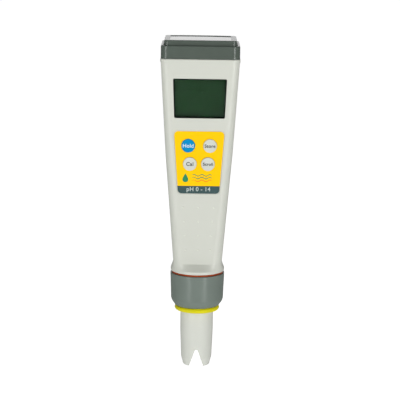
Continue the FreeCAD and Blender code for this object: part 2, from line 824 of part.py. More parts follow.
def make_rings():
    yellow = new_body("yellow_ring")
    middle = "((ringGap + ringHeight) / 2)"
    round_off = "((ringHeight - ringGap) / 2)"
    flat = f"({ring_radius} - {round_off})"
    turn(yellow, [(ring_seat_radius, "ringGap"), (flat, "ringGap"), (ring_radius, middle),
                  (flat, "ringHeight"), (ring_seat_radius, "ringHeight")],
         arcs={1: (flat, middle, round_off), 2: (flat, middle, round_off)})
    seal = new_body("collar_seal")
    low = f"({collar_top} + (sealGap - collarSealHeight) / 2)"
    high = f"({low} + collarSealHeight)"
    turn(seal, tube_points(spigot_radius, collar_seal_radius, low, high))
    round_edges(seal, "collarSealRound", edge_ring(low, collar_seal_radius))
    round_edges(seal, "collarSealRound", edge_ring(high, collar_seal_radius))


# ---------------------------------------------------------------- the electrode

def notch_outline():
    """The V between the prongs, with a round apex."""
    apex = "(-guardReach + notchReach)"
    centre = f"({apex} - notchRound)"
    drop = f"({centre} + guardReach)"
    span = f"sqrt({drop} * {drop} + notchHalfGap * notchHalfGap)"
    reach = f"sqrt({span} * {span} - notchRound * notchRound)"
    side_x = f"((notchHalfGap * notchRound * notchRound + {drop} * notchRound * {reach}) / ({span} * {span}))"
    side_z = f"({centre} + (notchHalfGap * notchRound * {reach} - {drop} * notchRound * notchRound)" \
             f" / ({span} * {span}))"
    slope = f"((notchHalfGap - {side_x}) / ({side_z} + guardReach))"
    foot = "(-guardReach - cutOver)"
    foot_half = f"(notchHalfGap + {slope} * cutOver)"
    return outline([(f"-{foot_half}", foot), (foot_half, foot), (side_x, side_z), (f"-{side_x}", side_z)],
                   {2: ("0", centre, "notchRound")})


def make_electrode_housing():
    body = new_body("electrode_housing")
    groove_low = f"({neck_flange_top} + sealGrooveRise)"
    groove_top = f"({groove_low} + sealGrooveHeight)"
    waist = f"({guard_low} + waistRise)"
    turn(body, [("0", guard_low), (tip_radius, guard_low), (waist_radius, waist),
                ("guardRadius", "-seatLength"), ("guardRadius", "0"), (ring_seat_radius, "0"),
                (ring_seat_radius, "ringHeight"), (neck_radius, "ringHeight"),
                (neck_radius, neck_flange_low),
                (neck_flange_radius, neck_flange_low), (neck_flange_radius, neck_flange_top),
                ("plugRadius", neck_flange_top), ("plugRadius", groove_low), (groove_radius, groove_low),
                (groove_radius, groove_top), ("plugRadius", groove_top), ("plugRadius", plug_top),
                ("0", plug_top)])
    round_edges(body, "tipRound", edge_ring(waist, waist_radius))
    round_edges(body, "tipEdge", edge_ring(guard_low, tip_radius))
    cut_down(body, guard_low, "-bulkheadLow", circle("0", "0", cup_radius))
    cut_down(body, bulkhead_top, neck_flange_low, circle("0", "0", low_chamber_radius))
    cut_down(body, neck_flange_low, plug_top, circle("0", "0", chamber_radius))
    cut_down(body, "-bulkheadLow", bulkhead_top, circle("0", "0", stem_radius),
             circle(side_offset, "0", "probeRadius"), circle(f"-{side_offset}", "0", "junctionRadius"))
    cut_back(body, "-guardRadius - cutOver", "guardRadius + cutOver", notch_outline())


def make_electrode_inside():
    stem = new_body("glass_stem")
    stem_low = f"(-bulbDrop + sqrt({bulb_radius} * {bulb_radius} - {stem_radius} * {stem_radius}))"
    turn(stem, tube_points(f"{stem_radius} - glassWall", stem_radius, stem_low, f"{bung_low} - stemTopGap"))
    bulb = new_body("ph_glass_bulb")
    inner = f"({bulb_radius} - glassWall)"
    inner_edge = f"sqrt({inner} * {inner} - ({stem_low} + bulbDrop) * ({stem_low} + bulbDrop))"
    turn(bulb, [("0", f"-bulbDrop - {bulb_radius}"), (bulb_radius, "-bulbDrop"), (stem_radius, stem_low),
                (inner_edge, stem_low), (inner, "-bulbDrop"), ("0", f"-bulbDrop - {inner}")],
         arcs={0: ("0", "-bulbDrop", bulb_radius), 1: ("0", "-bulbDrop", bulb_radius)})
    probe = new_body("temperature_probe")
    tip = "(-probeDrop + probeRadius)"
    turn(probe, [("0", "-probeDrop"), ("probeRadius", tip), ("probeRadius", bulkhead_top),
                 ("0", bulkhead_top)], arcs={0: ("0", tip, "probeRadius")})
    place(probe, side_offset)
    single(rod("reference_junction", f"-{side_offset}", "0", "-bulkheadLow - junctionProud", bulkhead_top,
               "junctionRadius"))
    single(rod("sensing_wire", "0", "0", f"-bulbDrop + {bulb_radius}", plug_top, "wireRadius"))
    single(rod("reference_wire", f"-{side_offset}", "0", f"{bulkhead_top} + wireLift", plug_top,
               "wireRadius"))
    lead_places = {"inner": f"({side_offset} - leadGap)", "outer": f"({side_offset} + leadGap)"}
    group("probe_leads", [
        rod(f"probe_lead_{side}", x, "0", bulkhead_top, plug_top, "wireRadius")
        for side, x in lead_places.items()])
    bung = new_body("electrode_bung")
    wire_places = ["0", f"-{side_offset}", *lead_places.values()]
    pad_up(bung, bung_low, plug_top, circle("0", "0", chamber_radius),
           *[circle(x, "0", "wireRadius") for x in wire_places])
    single(rod("contact_board", "0", "0", plug_top, board_top_of_electrode,
               f"{chamber_radius} - contactBoardInset"))
    group("contact_pads", [
        rod(f"contact_pad_{number}", x, pin_row, board_top_of_electrode,
            f"{board_top_of_electrode} + padHeight", "padRadius")
        for number, x in enumerate(pin_places(), start=1)])
    seal = new_body("electrode_seal")
    low = f"({neck_flange_top} + sealGrooveRise)"
    turn(seal, tube_points(groove_radius, "plugRadius + runGap / 2", f"{low} + runGap",
                           f"{low} + sealGrooveHeight - runGap"))


def pin_places():
    return [f"pinSpacing * {step}" for step in (-1.5, -0.5, 0.5, 1.5)]


# ---------------------------------------------------------------- inside the body

def make_socket():
    body = new_body("electrode_socket")
    flange_top_level = f"({shoulder_top} + socketFlangeHeight)"
    foot = "(floorHoleRadius - fitGap)"
    foot_level = f"({bore_top} + socketRecess)"
    turn(body, [("0", foot_level), (foot, foot_level), (foot, shoulder_top),
                (socket_flange_radius, shoulder_top), (socket_flange_radius, flange_top_level),
                ("0", flange_top_level)])
    cut_down(body, bore_top, flange_top_level, *[circle(x, pin_row, "pinRadius") for x in pin_places()])
    group("socket_pins", [
        rod(f"socket_pin_{number}", x, pin_row, f"{board_top_of_electrode} + padHeight + pinGap",
            f"{board_low} + pinOverlap", "pinRadius")
        for number, x in enumerate(pin_places(), start=1)])


def make_display():
    frame = new_body("lcd_frame")
    pad_back(frame, lcd_front, lcd_back,
             trapezoid(frame_low, frame_top, "windowLowHalf + lcdFrameRim", "windowTopHalf + lcdFrameRim"),
             trapezoid(f"{window_low} - lcdOverlap", f"{window_top} + lcdOverlap",
                       "windowLowHalf + lcdOverlap", "windowTopHalf + lcdOverlap"))
    collar_front = "(-frontFace + windowRecess + windowThick)"
    pad_back(frame, collar_front, lcd_front, display_outline("fitGap"), display_outline("lcdFrameWall"))
    pad_back(frame, f"{lcd_front} - lcdLap", f"{lcd_front} + fitGap",
             display_outline("-lcdOverlap - fitGap"), display_outline("lcdFrameWall"))
    glass = new_body("lcd_glass")
    pad_back(glass, f"{lcd_front} + fitGap", lcd_back,
             trapezoid(f"{window_low} - lcdOverlap + fitGap", f"{window_top} + lcdOverlap - fitGap",
                       "windowLowHalf + lcdOverlap - fitGap", "windowTopHalf + lcdOverlap - fitGap"))
    strips = []
    for name, middle in (("upper", f"({window_top} - zebraInset / 2)"),
                         ("lower", f"({window_low} + zebraInset / 2)")):
        strips.append(block(f"zebra_strip_{name}", "-(windowLowHalf - zebraInset)",
                            "windowLowHalf - zebraInset", lcd_back, board_front,
                            f"{middle} - zebraHeight / 2", f"{middle} + zebraHeight / 2"))
    group("zebra_strips", strips)


def board_half(level):
    return f"({half_at(level)} - shellWall - boardMargin)"


def chassis_half(level):
    return f"({half_at(level)} - shellWall - chassisMargin)"


def chassis_inner_half(level):
    return f"({chassis_half(level)} - chassisBorder)"


def screw_places():
    upper = f"({upper_bar_low} + chassisBar / 2)"
    lower = f"({chassis_low} + chassisFoot / 2)"
    return [(f"{sign}{side}", level) for side, level in (("screwUpperSide", upper), ("screwLowerSide", lower))
            for sign in ("-", "")]


def make_chassis():
    body = new_body("inner_chassis")
    pad_back(body, "-chassisFront", board_front,
             trapezoid(chassis_low, chassis_top, chassis_half(chassis_low), chassis_half(chassis_top)))
    cut_back(body, "-chassisFront", board_front,
             trapezoid(upper_bar_top, f"{frame_top} + fitGap", "windowLowHalf + lcdFrameRim + fitGap",
                       "windowTopHalf + lcdFrameRim + fitGap"))
    lower_bar_low = f"({key_bay_low} - chassisBar)"
    lower_bay_low = f"({chassis_low} + chassisFoot)"
    for low, high in ((key_bay_low, upper_bar_low), (lower_bay_low, lower_bar_low)):
        cut_back(body, "-chassisFront", board_front,
                 trapezoid(low, high, chassis_inner_half(low), chassis_inner_half(high)))
    cut_back(body, "-chassisFront", board_front,
             *[circle(x, level, "screwShankRadius") for x, level in screw_places()])


def make_keypad_mat():
    body = new_body("keypad_mat")
    low = f"({key_bay_low} + fitGap)"
    high = f"({upper_bar_low} - fitGap)"
    pad_back(body, f"{board_front} - matRise", f"{board_front} - matRise + matThick",
             trapezoid(low, high, f"{chassis_inner_half(low)} - fitGap",
                       f"{chassis_inner_half(high)} - fitGap"),
             *key_circles("keyStemRadius + matHoleClear"))


def make_main_board():
    body = new_body("main_board")
    pad_back(body, board_front, board_back,
             trapezoid(board_low, chassis_top, board_half(board_low), board_half(chassis_top)),
             *[circle(x, level, "screwShankRadius") for x, level in screw_places()])


def along_y(name, x, z, front, back, radius):
    item = doc.addObject("Part::Cylinder", name)
    item.Placement = FreeCAD.Placement(V(0, 0, 0), FreeCAD.Rotation(V(1, 0, 0), -90))
    size(item, Radius=radius, Height=f"{back} - ({front})")
    place(item, x, front, z)
    return item


def make_board_screws():
    screws = []
    for number, (x, level) in enumerate(screw_places(), start=1):
        shank = along_y(f"screw_shank_{number}", x, level, f"{board_back} - screwReach", board_back,
                        "screwShankRadius")
        head = along_y(f"screw_head_{number}", x, level, board_back, f"{board_back} + screwHeadHeight",
                       "screwHeadRadius")
        screw = doc.addObject("Part::Fuse", f"screw_{number}")
        screw.Base = shank
        screw.Tool = head
        screws.append(screw)
    group("board_screws", screws)


def make_dome_switches():
    domes = []
    for name, (x, drop) in KEYS.items():
        domes.append(along_y(f"{name}_dome", x, f"{label_top} - {drop}", f"{board_front} - domeHeight",
                             board_front, "domeRadius"))
    group("dome_switches", domes)


def behind_board(name, x, z, width, height, thick):
    return block(name, f"{x} - {width} / 2", f"{x} + {width} / 2", board_back, f"{board_back} + {thick}",
                 f"{z} - {height} / 2", f"{z} + {height} / 2")


def make_board_parts():
    middle = f"({key_bay_low} + controllerRise)"
    single(behind_board("controller_chip", "0", middle, "controllerWidth", "controllerWidth", "chipThick"))
    single(behind_board("amplifier_chip", "0", f"({chassis_low} + amplifierRise)", "amplifierWidth",
                        "amplifierHeight", "chipThick"))
    crystal = doc.addObject("Part::Cylinder", "crystal")
    size(crystal, Radius="crystalRadius", Height="crystalLength")
    place(crystal, "controllerWidth / 2 + crystalGap", f"{board_back} + crystalRadius",
          f"{middle} - crystalLength / 2")
    single(crystal)
    small_parts = []
    for column, steps in enumerate((-2, -1, 1, 2)):
        for row in ("chipRowLow", "chipRowMiddle", "chipRowHigh"):
            small_parts.append(behind_board(f"chip_part_{column}_{row}", f"({steps} * chipPartSpacing)",
                                            f"({chassis_low} + {row})", "chipPartWidth", "chipPartHeight",
                                            "chipPartThick"))
    group("small_components", small_parts)


# ---------------------------------------------------------------- the battery compartment

def make_battery_carrier():
    body = new_body("battery_carrier")
    pad_up(body, carrier_low, skirt_low, rectangle(f"-{carrier_half}", carrier_half, carrier_front,
                                                   carrier_back))
    cut_back(body, f"{carrier_front} + carrierWall", carrier_back,
             rectangle(f"-{stack_half}", stack_half, f"{carrier_low} + carrierWall",
                       f"{skirt_low} - carrierWall"))
    cell_left = f"(-{stack_half} + springRoom)"
    for number in range(int(SIZES["cellCount"])):
        cell = doc.addObject("Part::Cylinder", f"button_cell_{number + 1}")
        cell.Placement = FreeCAD.Placement(V(0, 0, 0), FreeCAD.Rotation(V(0, 1, 0), 90))
        size(cell, Radius="cellRadius", Height="cellThick")
        place(cell, f"{cell_left} + {number} * cellThick", "cellBack", cell_level)
        single(cell)
    single(block("contact_plate", f"{stack_half} - plateThick", stack_half, "cellBack - plateHalf",
                 "cellBack + plateHalf", f"{cell_level} - plateHalf", f"{cell_level} + plateHalf"))
    spring = doc.addObject("Part::Cone", "contact_spring")
    spring.Placement = FreeCAD.Placement(V(0, 0, 0), FreeCAD.Rotation(V(0, 1, 0), 90))
    size(spring, Radius1="springFootRadius", Radius2="springTipRadius", Height="springRoom")
    place(spring, f"-{stack_half}", "cellBack", cell_level)
    single(spring)


def contact_places():
    return [("left", "-contactSide"), ("right", "contactSide")]


def make_battery_sleeve():
    body = new_body("battery_sleeve")
    inner = f"({carrier_half} + sleeveGap)"
    front = f"({carrier_front} - sleeveGap)"
    back = f"({carrier_back} + sleeveGap)"
    low = f"({carrier_low} - sleeveFootGap)"
    pad_up(body, f"{low} - sleeveWall", skirt_low,
           rectangle(f"-{inner} - sleeveWall", f"{inner} + sleeveWall", f"{front} - sleeveWall",
                     f"{back} + sleeveWall"))
    cut_down(body, low, skirt_low, rectangle(f"-{inner}", inner, front, back))
    slots = [rectangle(f"{x} - contactHalf - fitGap", f"{x} + contactHalf + fitGap",
                       f"{cell_level} - contactHalf - fitGap", f"{cell_level} + contactHalf + fitGap")
             for _, x in contact_places()]
    cut_back(body, f"{front} - sleeveWall", front, *slots)
    group("bay_contacts", [
        block(f"bay_contact_{name}", f"{x} - contactHalf", f"{x} + contactHalf", board_back,
              f"{carrier_front} - contactGap", f"{cell_level} - contactHalf", f"{cell_level} + contactHalf")
        for name, x in contact_places()])


# ---------------------------------------------------------------- checks and files

def check_document():
    doc.recompute()
    for item in doc.Objects:
        if "Invalid" in item.State or "Error" in item.State:
            raise RuntimeError(f"{item.Name} is {item.State}")
    for piece in PIECES:
        if piece.Shape.isNull() or not piece.Shape.isValid() or not piece.Shape.Solids:
            raise RuntimeError(f"{piece.Label} has no valid shape")
        check_features(piece)


def check_features(piece):
    """Each feature of a body has to change its volume the way it is meant to."""
    if piece.TypeId != "PartDesign::Body":
        return
    last = 0.0
    for feature in piece.Group:
        if feature.TypeId.startswith("Sketcher") or not hasattr(feature, "Profile"):
            continue
        grows = feature.TypeId.split("::")[1] in ("Pad", "Revolution", "AdditiveLoft")
        volume = feature.Shape.Volume
        if (volume > last) != grows:
            raise RuntimeError(f"{feature.Name} leaves the volume at {volume:.2f}, from {last:.2f}")
        last = volume


def write_steps():
    os.makedirs("parts", exist_ok=True)
    for piece in PIECES:
        piece.Shape.exportStep(f"parts/{piece.Label}.step")


fill_sheet()
make_body_shell()
make_top_bezel()
make_battery_cover()
make_display_window()
make_keypad_label()
for key_name, (key_x, key_drop) in KEYS.items():
    make_key(key_name, key_x, key_drop)
make_collar_nut()
make_rings()
make_electrode_housing()
make_electrode_inside()
make_socket()
make_display()
make_chassis()
make_keypad_mat()
make_main_board()
make_board_screws()
make_dome_switches()
make_board_parts()
make_battery_carrier()
make_battery_sleeve()
check_document()
write_steps()
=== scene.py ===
import json
import math

import bmesh
import bpy
from mathutils import Matrix, Vector


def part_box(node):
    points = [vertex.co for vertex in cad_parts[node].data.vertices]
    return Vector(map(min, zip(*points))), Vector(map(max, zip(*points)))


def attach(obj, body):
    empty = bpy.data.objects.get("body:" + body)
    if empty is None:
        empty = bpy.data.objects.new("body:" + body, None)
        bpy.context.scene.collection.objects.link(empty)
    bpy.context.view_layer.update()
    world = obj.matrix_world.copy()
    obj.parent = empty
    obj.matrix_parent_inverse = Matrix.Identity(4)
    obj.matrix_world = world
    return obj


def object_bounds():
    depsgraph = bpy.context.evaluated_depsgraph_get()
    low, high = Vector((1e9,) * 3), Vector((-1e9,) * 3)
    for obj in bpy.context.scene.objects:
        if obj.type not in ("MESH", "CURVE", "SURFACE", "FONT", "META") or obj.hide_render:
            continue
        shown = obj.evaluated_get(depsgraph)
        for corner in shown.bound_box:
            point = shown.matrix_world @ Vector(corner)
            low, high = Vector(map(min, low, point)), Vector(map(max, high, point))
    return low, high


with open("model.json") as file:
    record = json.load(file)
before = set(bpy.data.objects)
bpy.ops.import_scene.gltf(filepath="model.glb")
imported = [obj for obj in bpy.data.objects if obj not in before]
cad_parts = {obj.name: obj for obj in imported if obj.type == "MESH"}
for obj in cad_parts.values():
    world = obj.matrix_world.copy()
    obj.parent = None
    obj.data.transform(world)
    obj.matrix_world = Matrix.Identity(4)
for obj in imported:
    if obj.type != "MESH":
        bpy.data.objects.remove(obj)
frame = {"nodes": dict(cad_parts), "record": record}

CAD_BOX = [list(corner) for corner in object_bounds()]
MM = 0.001

# ---------------------------------------------------------------- materials


def new_material(name):
    material = bpy.data.materials.new(name)
    material.use_nodes = True
    tree = material.node_tree
    return material, tree, tree.nodes["Principled BSDF"]


def add_node(tree, kind, **settings):
    """A node with its attributes set; names that match a socket set that socket's value."""
    node = tree.nodes.new(kind)
    for name, setting in settings.items():
        if hasattr(node, name):
            setattr(node, name, setting)
        else:
            node.inputs[name.replace("_", " ")].default_value = setting
    return node


def object_point(tree):
    return add_node(tree, "ShaderNodeTexCoord").outputs["Object"]


def noise(tree, scale, detail=2.0, stretch=(1, 1, 1)):
    """Noise over the piece, with about `scale` features to a metre."""
    mapping = add_node(tree, "ShaderNodeMapping")
    mapping.inputs["Scale"].default_value = stretch
    tree.links.new(object_point(tree), mapping.inputs["Vector"])
    texture = add_node(tree, "ShaderNodeTexNoise", Scale=scale, Detail=detail)
    tree.links.new(mapping.outputs["Vector"], texture.inputs["Vector"])
    return texture.outputs["Fac"]


NOISE_MIDDLE = (0.3, 0.7)      # the range that most of a noise's values lie in


def spread(tree, factor, low, high):
    """Maps a noise's middle range to low..high."""
    node = add_node(tree, "ShaderNodeMapRange")
    tree.links.new(factor, node.inputs["Value"])
    limits = (*NOISE_MIDDLE, low, high)
    for socket, number in zip(("From Min", "From Max", "To Min", "To Max"), limits):
        node.inputs[socket].default_value = number
    return node.outputs["Result"]


def blend_colours(tree, factor, first, second):
    """Mixes two colours, each four numbers or another node's output."""
    node = add_node(tree, "ShaderNodeMix", data_type="RGBA")
    tree.links.new(factor, node.inputs["Factor"])
    for socket, colour in ((node.inputs[6], first), (node.inputs[7], second)):
        if isinstance(colour, bpy.types.NodeSocket):
            tree.links.new(colour, socket)
        else:
            socket.default_value = (*colour[:3], 1)
    return node.outputs[2]


def shade(colour, factor):
    return tuple(min(1.0, channel * factor) for channel in colour)


def mottled(tree, colour, amount, scale):
    factor = spread(tree, noise(tree, scale), 0.0, 1.0)
    return blend_colours(tree, factor, shade(colour, 1 - amount), shade(colour, 1 + amount))


def add_bump(tree, shader, height, depth, strength=1.0):
    bump = add_node(tree, "ShaderNodeBump", Strength=strength, Distance=depth)
    tree.links.new(height, bump.inputs["Height"])
    tree.links.new(bump.outputs["Normal"], shader.inputs["Normal"])


COAT_ROUGHNESS = 0.15


def surface(name, colour, roughness, grain=2500, depth=0.01, mottle=0.02, mottle_scale=120,
            metallic=0.0, coat=0.0, gloss=0.5, variation=0.05, stretch=(1, 1, 1)):
    """A surface with mottled colour, uneven roughness and a fine grain; depth is in millimetres."""
    material, tree, shader = new_material(name)
    shader.inputs["Metallic"].default_value = metallic
    shader.inputs["Coat Weight"].default_value = coat
    shader.inputs["Coat Roughness"].default_value = COAT_ROUGHNESS
    shader.inputs["Specular IOR Level"].default_value = gloss
    tree.links.new(mottled(tree, colour, mottle, mottle_scale), shader.inputs["Base Color"])
    rough = spread(tree, noise(tree, mottle_scale * 4, 3.0, stretch), roughness - variation,
                   roughness + variation)
    tree.links.new(rough, shader.inputs["Roughness"])
    add_bump(tree, shader, noise(tree, grain, 2.0, stretch), depth * MM)
    return material


def clear_glass(name, tint, roughness=0.03, ior=1.45):
    """Glass or clear plastic with a slightly uneven polish."""
    material, tree, shader = new_material(name)
    shader.inputs["Base Color"].default_value = (*tint, 1)
    shader.inputs["Transmission Weight"].default_value = 1.0
    shader.inputs["IOR"].default_value = ior
    rough = spread(tree, noise(tree, 90, 3.0), roughness * 0.6, roughness * 1.6)
    tree.links.new(rough, shader.inputs["Roughness"])
    return material


def along(tree, vector, axis):
    """One axis, "X", "Y" or "Z", of a node's vector output."""
    split = add_node(tree, "ShaderNodeSeparateXYZ")
    tree.links.new(vector, split.inputs["Vector"])
    return split.outputs[axis]


def maths(tree, operation, first, second=0.0):
    """A Math node on an output and a number or another output."""
    node = add_node(tree, "ShaderNodeMath", operation=operation)
    tree.links.new(first, node.inputs[0])
    if isinstance(second, bpy.types.NodeSocket):
        tree.links.new(second, node.inputs[1])
    else:
        node.inputs[1].default_value = second
    return node.outputs[0]


def height_mask(tree, level):
    """1 below a height in metres."""
    return maths(tree, "LESS_THAN", along(tree, object_point(tree), "Z"), level)


LABEL_GLOSS = 0.1
LABEL_YELLOW = (0.96, 0.55, 0.0)
LABEL_SLATE = (0.050, 0.090, 0.092)


def label_film(name, yellow, slate, band_top):
    """Printed film: yellow ink with a slate band along its foot."""
    material, tree, shader = new_material(name)
    shader.inputs["Specular IOR Level"].default_value = LABEL_GLOSS
    ink = blend_colours(tree, height_mask(tree, band_top), mottled(tree, yellow, 0.012, 150),
                        mottled(tree, slate, 0.05, 300))
    tree.links.new(ink, shader.inputs["Base Color"])
    tree.links.new(spread(tree, noise(tree, 700, 3.0), 0.38, 0.5), shader.inputs["Roughness"])
    add_bump(tree, shader, noise(tree, 5000), 0.004 * MM)
    return material


SHELL = (0.575, 0.59, 0.53)
# painted highlight: the pips' colour below is the shell's colour made lighter, so that the small
# domes read as light dots
PIP_HIGHLIGHT_LIFT = 1.19                # how much lighter the pips are, so that they show
MATERIALS = {
    "shell_plastic": surface("shell_plastic", SHELL, 0.35, grain=2600, depth=0.0006, mottle=0.006,
                             variation=0.01),
    # the pips: the shell's plastic painted lighter, a painted highlight on the small domes
    "pip_highlight_plastic": surface("pip_highlight_plastic", shade(SHELL, PIP_HIGHLIGHT_LIFT), 0.25, grain=2600, depth=0.0006,
                           mottle=0.006, coat=0.4),
    "housing_plastic": surface("housing_plastic", (0.60, 0.615, 0.56), 0.34, grain=2600,
                               depth=0.002, mottle=0.008, variation=0.02),
    "bezel_plastic": surface("bezel_plastic", (0.080, 0.100, 0.084), 0.24, grain=3200, depth=0.001,
                             mottle=0.04, variation=0.015),
    "collar_plastic": surface("collar_plastic", (0.155, 0.190, 0.166), 0.33, grain=2400,
                              depth=0.002, mottle=0.03, variation=0.02, stretch=(1, 1, 0.12)),
    "yellow_rubber": surface("yellow_rubber", (0.64, 0.58, 0.004), 0.42, grain=1500, depth=0.006,
                             mottle=0.04, gloss=0.12),
    "seal_rubber": surface("seal_rubber", (0.36, 0.055, 0.012), 0.5, mottle=0.08, gloss=0.2),
    "black_rubber": surface("black_rubber", (0.02, 0.02, 0.02), 0.5, mottle=0.1),
    "mat_rubber": surface("mat_rubber", (0.55, 0.55, 0.52), 0.6),
    "zebra_rubber": surface("zebra_rubber", (0.30, 0.08, 0.12), 0.6, mottle=0.2, mottle_scale=1500),
    "window_glass": clear_glass("window_glass", (0.93, 0.97, 0.94), ior=1.15),
    "lcd_glass": surface("lcd_glass", (0.014, 0.044, 0.018), 0.30, grain=4000, depth=0.002,
                         mottle=0.12, mottle_scale=45, gloss=0.08),
    "sensor_glass": clear_glass("sensor_glass", (0.95, 0.98, 0.98), 0.01),
    "key_blue": surface("key_blue", (0.0, 0.235, 0.50), 0.36, grain=3500, depth=0.003, gloss=0.06),
    "key_grey": surface("key_grey", (0.58, 0.60, 0.545), 0.36, grain=3500, depth=0.003, gloss=0.3),
    "dark_plastic": surface("dark_plastic", (0.018, 0.02, 0.019), 0.45, mottle=0.1),
    "board_green": surface("board_green", (0.012, 0.13, 0.05), 0.35, mottle=0.12, mottle_scale=900,
                           coat=0.3),
    "chip_black": surface("chip_black", (0.02, 0.02, 0.022), 0.5, mottle=0.1),
    "ceramic_white": surface("ceramic_white", (0.78, 0.76, 0.7), 0.8, grain=4000, depth=0.03),
    "steel_bright": surface("steel_bright", (0.62, 0.62, 0.6), 0.26, metallic=1.0, mottle=0.04,
                            variation=0.08, grain=6000, depth=0.002, stretch=(1, 8, 1)),
    "gold_contact": surface("gold_contact", (0.85, 0.56, 0.2), 0.25, metallic=1.0, mottle=0.05),
    "silver_wire": surface("silver_wire", (0.75, 0.75, 0.72), 0.3, metallic=1.0),
    "ink_white": surface("ink_white", (0.66, 0.72, 0.76), 0.45, mottle=0.01),
    "ink_pale": surface("ink_pale", (0.50, 0.56, 0.54), 0.45, mottle=0.02),
    "ink_dark": surface("ink_dark", (0.03, 0.033, 0.03), 0.5, mottle=0.05, gloss=0.2),
    "ink_green": surface("ink_green", (0.02, 0.24, 0.10), 0.5, mottle=0.05, gloss=0.2),
    "ink_orange": surface("ink_orange", (0.85, 0.20, 0.01), 0.5, mottle=0.05, gloss=0.2),
}


def variant(name, like):
    """A copy of a material to change further, with its node tree and its shader."""
    material = MATERIALS[like].copy()
    material.name = name
    return material, material.node_tree, material.node_tree.nodes["Principled BSDF"]


UPWARD = 0.9                   # a normal's Z from which a face counts as facing up
COVER_GRAIN = 480
COVER_UNEVEN = 0.03


def cover_plastic(name, like, level, rim_roughness, panel_roughness):
    """The bezel's plastic with a smoother panel: what faces up below a height in metres."""
    material, tree, shader = variant(name, like)
    normal = add_node(tree, "ShaderNodeNewGeometry").outputs["Normal"]
    upward = maths(tree, "GREATER_THAN", along(tree, normal, "Z"), UPWARD)
    panel = maths(tree, "MULTIPLY", upward, height_mask(tree, level))
    rim = spread(tree, noise(tree, COVER_GRAIN, 3.0), rim_roughness - COVER_UNEVEN,
                 rim_roughness + COVER_UNEVEN)
    rough = add_node(tree, "ShaderNodeMix", data_type="FLOAT")
    tree.links.new(panel, rough.inputs[0])
    tree.links.new(rim, rough.inputs[2])
    rough.inputs[3].default_value = panel_roughness
    tree.links.new(rough.outputs[0], shader.inputs["Roughness"])
    return material


INSULATOR = (0.02, 0.03, 0.025)


def cell_can(name, like, start, pitch, share):
    """Plated steel, and a dark insulating ring from a share of the length of each cell along X."""
    material, tree, shader = variant(name, like)
    place = along(tree, object_point(tree), "X")
    offset = maths(tree, "SUBTRACT", place, start)
    cell_share = maths(tree, "FRACT", maths(tree, "DIVIDE", offset, pitch))
    ring = maths(tree, "GREATER_THAN", cell_share, share)
    plain = shader.inputs["Base Color"].links[0].from_socket
    tree.links.new(blend_colours(tree, ring, plain, INSULATOR), shader.inputs["Base Color"])
    return material


CELLS = ["button_cell_1", "button_cell_2", "button_cell_3", "button_cell_4"]
CELL_STARTS = sorted(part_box(cell)[0][0] for cell in CELLS)
RING_START = 0.84
MATERIALS["cell_can"] = cell_can("cell_can", "steel_bright", CELL_STARTS[0],
                                 CELL_STARTS[1] - CELL_STARTS[0], RING_START)

COVER_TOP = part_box("battery_cover")[1][2]
PANEL_LEVEL = COVER_TOP - 0.15 * MM     # between the cover's rim and the panel sunk in it
RIM_ROUGHNESS = 0.22
PANEL_ROUGHNESS = 0.08
MATERIALS["cover_plastic"] = cover_plastic("cover_plastic", "bezel_plastic", PANEL_LEVEL,
                                           RIM_ROUGHNESS, PANEL_ROUGHNESS)

LABEL_LOW, LABEL_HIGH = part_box("keypad_label")
BAND_HEIGHT = 3.8 * MM
BAND_TOP = LABEL_LOW[2] + BAND_HEIGHT
MATERIALS["label_film"] = label_film("label_film", LABEL_YELLOW, LABEL_SLATE, BAND_TOP)


def dress(piece, slot_name, material_name=None):
    """Gives a piece its slot's material, or another one by name."""
    piece.data.materials.clear()
    piece.data.materials.append(MATERIALS[material_name or slot_name])


# nodes with more than their slot's finish
OWN_FINISH = {"battery_cover": "cover_plastic", **dict.fromkeys(CELLS, "cell_can")}


def dress_frame():
    """Every CAD node takes the material of its slot, or its own finish."""
    for part in frame["record"]["subparts"]:
        node = frame["nodes"][part["node"]]
        name = OWN_FINISH.get(part["node"], part["material_slot"])
        for place in node.material_slots:
            place.material = MATERIALS[name]


# ---------------------------------------------------------------- pieces that carry print

def text_mesh(name, words, size, thickness, weight=0.0):
    """Letters as a flat mesh in the XZ plane that faces -Y, centred on the origin."""
    curve = bpy.data.curves.new(f"{name}_curve", "FONT")
    curve.body = words
    curve.size = size
    curve.align_x = "CENTER"
    curve.align_y = "CENTER"
    curve.extrude = thickness / 2
    curve.offset = weight
    curve.space_character = LETTER_SPACE
    holder = bpy.data.objects.new(f"{name}_holder", curve)
    bpy.context.scene.collection.objects.link(holder)
    graph = bpy.context.evaluated_depsgraph_get()
    mesh = bpy.data.meshes.new_from_object(holder.evaluated_get(graph))
    bpy.data.objects.remove(holder)
    mesh.transform(Matrix.Rotation(math.radians(90), 4, "X"))
    low, high = mesh_span(mesh)
    mesh.transform(Matrix.Translation(-(low + high) / 2))
    mesh.name = name
    return mesh


def mesh_span(mesh):
    """The low and the high corner of a mesh's box."""
    points = [vertex.co for vertex in mesh.vertices]
    low = Vector([min(point[axis] for point in points) for axis in range(3)])
    high = Vector([max(point[axis] for point in points) for axis in range(3)])
    return low, high


def new_piece(name, mesh, body, slot_name, material_name=None):
    """An object of its own that rides on a body, dressed in its slot's material or another one."""
    piece = bpy.data.objects.new(name, mesh)
    bpy.context.scene.collection.objects.link(piece)
    dress(piece, slot_name, material_name)
    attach(piece, body)
    return piece


INK = 0.03 * MM
LETTER_SPACE = 1.06
LETTER_WEIGHT = 0.05 * MM      # how far the strokes of the key legends swell
# each key's words, their size, the slot of the key and the material of the ink
KEY_LEGENDS = {
    "key_hold": ("Hold", 2.65 * MM, "key_blue", "ink_white"),
    "key_store": ("Store", 2.35 * MM, "key_grey", "ink_dark"),
    "key_cal": ("Cal", 2.65 * MM, "key_grey", "ink_dark"),
    "key_scroll": ("Scroll", 2.1 * MM, "key_grey", "ink_dark"),
}
KEY_RIM = 0.5 * MM
KEY_DISH = 0.22 * MM
KEY_RADIUS = 3.35 * MM


